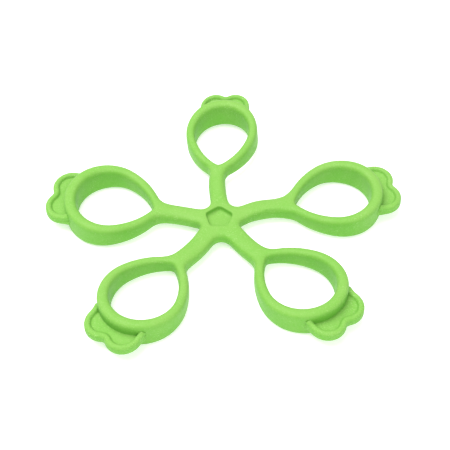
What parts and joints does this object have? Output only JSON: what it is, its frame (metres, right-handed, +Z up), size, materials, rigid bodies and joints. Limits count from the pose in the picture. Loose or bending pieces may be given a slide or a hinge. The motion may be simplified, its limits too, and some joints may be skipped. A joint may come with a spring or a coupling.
{
  "type": "finger exerciser",
  "caption": "Soft silicone star: a central hub with elastic arms, each ending in an egg-shaped finger loop and a two-lobed pull tab, for finger spreading and stretching.",
  "frame": {"origin": "centre of the hub's flat underside", "axes": "+Z up, out of the hub's top with the pentagon recess; +Y within a degree of the finger 1 arm; +X along the star's widest extent, between fingers 5 and 2"},
  "size_m": [0.1346, 0.1264, 0.0116],
  "materials": {
    "silicone": "matt moulded silicone"
  },
  "bodies": {
    "hub": {"hub": "silicone"},
    "arm_1": {"arm_1": "silicone"},
    "neck_1": {"neck_1": "silicone"},
    "loop_sides_1": {"loop_sides_1": "silicone"},
    "loop_end_1": {"loop_end_1": "silicone", "pull_tab_1": "silicone"},
    "arm_2": {"arm_2": "silicone"},
    "neck_2": {"neck_2": "silicone"},
    "loop_sides_2": {"loop_sides_2": "silicone"},
    "loop_end_2": {"loop_end_2": "silicone", "pull_tab_2": "silicone"},
    "arm_3": {"arm_3": "silicone"},
    "neck_3": {"neck_3": "silicone"},
    "loop_sides_3": {"loop_sides_3": "silicone"},
    "loop_end_3": {"loop_end_3": "silicone", "pull_tab_3": "silicone"},
    "arm_4": {"arm_4": "silicone"},
    "neck_4": {"neck_4": "silicone"},
    "loop_sides_4": {"loop_sides_4": "silicone"},
    "loop_end_4": {"loop_end_4": "silicone", "pull_tab_4": "silicone"},
    "arm_5": {"arm_5": "silicone"},
    "neck_5": {"neck_5": "silicone"},
    "loop_sides_5": {"loop_sides_5": "silicone"},
    "loop_end_5": {"loop_end_5": "silicone", "pull_tab_5": "silicone"}
  },
  "joints": [
    {"name": "swing_1", "type": "hinge", "parent": "hub", "child": "arm_1", "pos_m": [0.00022, 0.0125, 0.0027], "axis": [0, 0, 1], "range_deg": [-15, 15], "stiffness_Nm_per_rad": 0.02},
    {"name": "bend_1", "type": "hinge", "parent": "arm_1", "child": "neck_1", "pos_m": [0.00029, 0.0165, 0.0027], "axis": [0.9998, -0.0175, 0], "range_deg": [-57, 57], "stiffness_Nm_per_rad": 0.02},
    {"name": "stretch_1", "type": "slide", "parent": "neck_1", "child": "loop_sides_1", "axis": [0.0175, 0.9998, 0], "range_m": [0, 0.014], "stiffness_N_per_m": 400},
    {"name": "widen_1", "type": "slide", "parent": "loop_sides_1", "child": "loop_end_1", "axis": [0.0175, 0.9998, 0], "range_m": [0, 0.006], "stiffness_N_per_m": 800},
    {"name": "swing_2", "type": "hinge", "parent": "hub", "child": "arm_2", "pos_m": [-0.01227, 0.00238, 0.0027], "axis": [0, 0, 1], "range_deg": [-15, 15], "stiffness_Nm_per_rad": 0.02},
    {"name": "bend_2", "type": "hinge", "parent": "arm_2", "child": "neck_2", "pos_m": [-0.01423, 0.00277, 0.0027], "axis": [0.1908, 0.9816, 0], "range_deg": [-57, 57], "stiffness_Nm_per_rad": 0.02},
    {"name": "stretch_2", "type": "slide", "parent": "neck_2", "child": "loop_sides_2", "axis": [-0.9816, 0.1908, 0], "range_m": [0, 0.014], "stiffness_N_per_m": 400},
    {"name": "widen_2", "type": "slide", "parent": "loop_sides_2", "child": "loop_end_2", "axis": [-0.9816, 0.1908, 0], "range_m": [0, 0.006], "stiffness_N_per_m": 800},
    {"name": "swing_3", "type": "hinge", "parent": "hub", "child": "arm_3", "pos_m": [-0.00752, -0.00998, 0.0027], "axis": [0, 0, 1], "range_deg": [-15, 15], "stiffness_Nm_per_rad": 0.02},
    {"name": "bend_3", "type": "hinge", "parent": "arm_3", "child": "neck_3", "pos_m": [-0.00993, -0.01318, 0.0027], "axis": [-0.7986, 0.6018, 0], "range_deg": [-57, 57], "stiffness_Nm_per_rad": 0.02},
    {"name": "stretch_3", "type": "slide", "parent": "neck_3", "child": "loop_sides_3", "axis": [-0.6018, -0.7986, 0], "range_m": [0, 0.014], "stiffness_N_per_m": 400},
    {"name": "widen_3", "type": "slide", "parent": "loop_sides_3", "child": "loop_end_3", "axis": [-0.6018, -0.7986, 0], "range_m": [0, 0.006], "stiffness_N_per_m": 800},
    {"name": "swing_4", "type": "hinge", "parent": "hub", "child": "arm_4", "pos_m": [0.00852, -0.00914, 0.0027], "axis": [0, 0, 1], "range_deg": [-15, 15], "stiffness_Nm_per_rad": 0.02},
    {"name": "bend_4", "type": "hinge", "parent": "arm_4", "child": "neck_4", "pos_m": [0.00989, -0.0106, 0.0027], "axis": [-0.7314, -0.682, 0], "range_deg": [-57, 57], "stiffness_Nm_per_rad": 0.02},
    {"name": "stretch_4", "type": "slide", "parent": "neck_4", "child": "loop_sides_4", "axis": [0.682, -0.7314, 0], "range_m": [0, 0.014], "stiffness_N_per_m": 400},
    {"name": "widen_4", "type": "slide", "parent": "loop_sides_4", "child": "loop_end_4", "axis": [0.682, -0.7314, 0], "range_m": [0, 0.006], "stiffness_N_per_m": 800},
    {"name": "swing_5", "type": "hinge", "parent": "hub", "child": "arm_5", "pos_m": [0.01207, 0.00324, 0.0027], "axis": [0, 0, 1], "range_deg": [-15, 15], "stiffness_Nm_per_rad": 0.02},
    {"name": "bend_5", "type": "hinge", "parent": "arm_5", "child": "neck_5", "pos_m": [0.01787, 0.00479, 0.0027], "axis": [0.2588, -0.9659, 0], "range_deg": [-57, 57], "stiffness_Nm_per_rad": 0.02},
    {"name": "stretch_5", "type": "slide", "parent": "neck_5", "child": "loop_sides_5", "axis": [0.9659, 0.2588, 0], "range_m": [0, 0.014], "stiffness_N_per_m": 400},
    {"name": "widen_5", "type": "slide", "parent": "loop_sides_5", "child": "loop_end_5", "axis": [0.9659, 0.2588, 0], "range_m": [0, 0.006], "stiffness_N_per_m": 800}
  ]
}
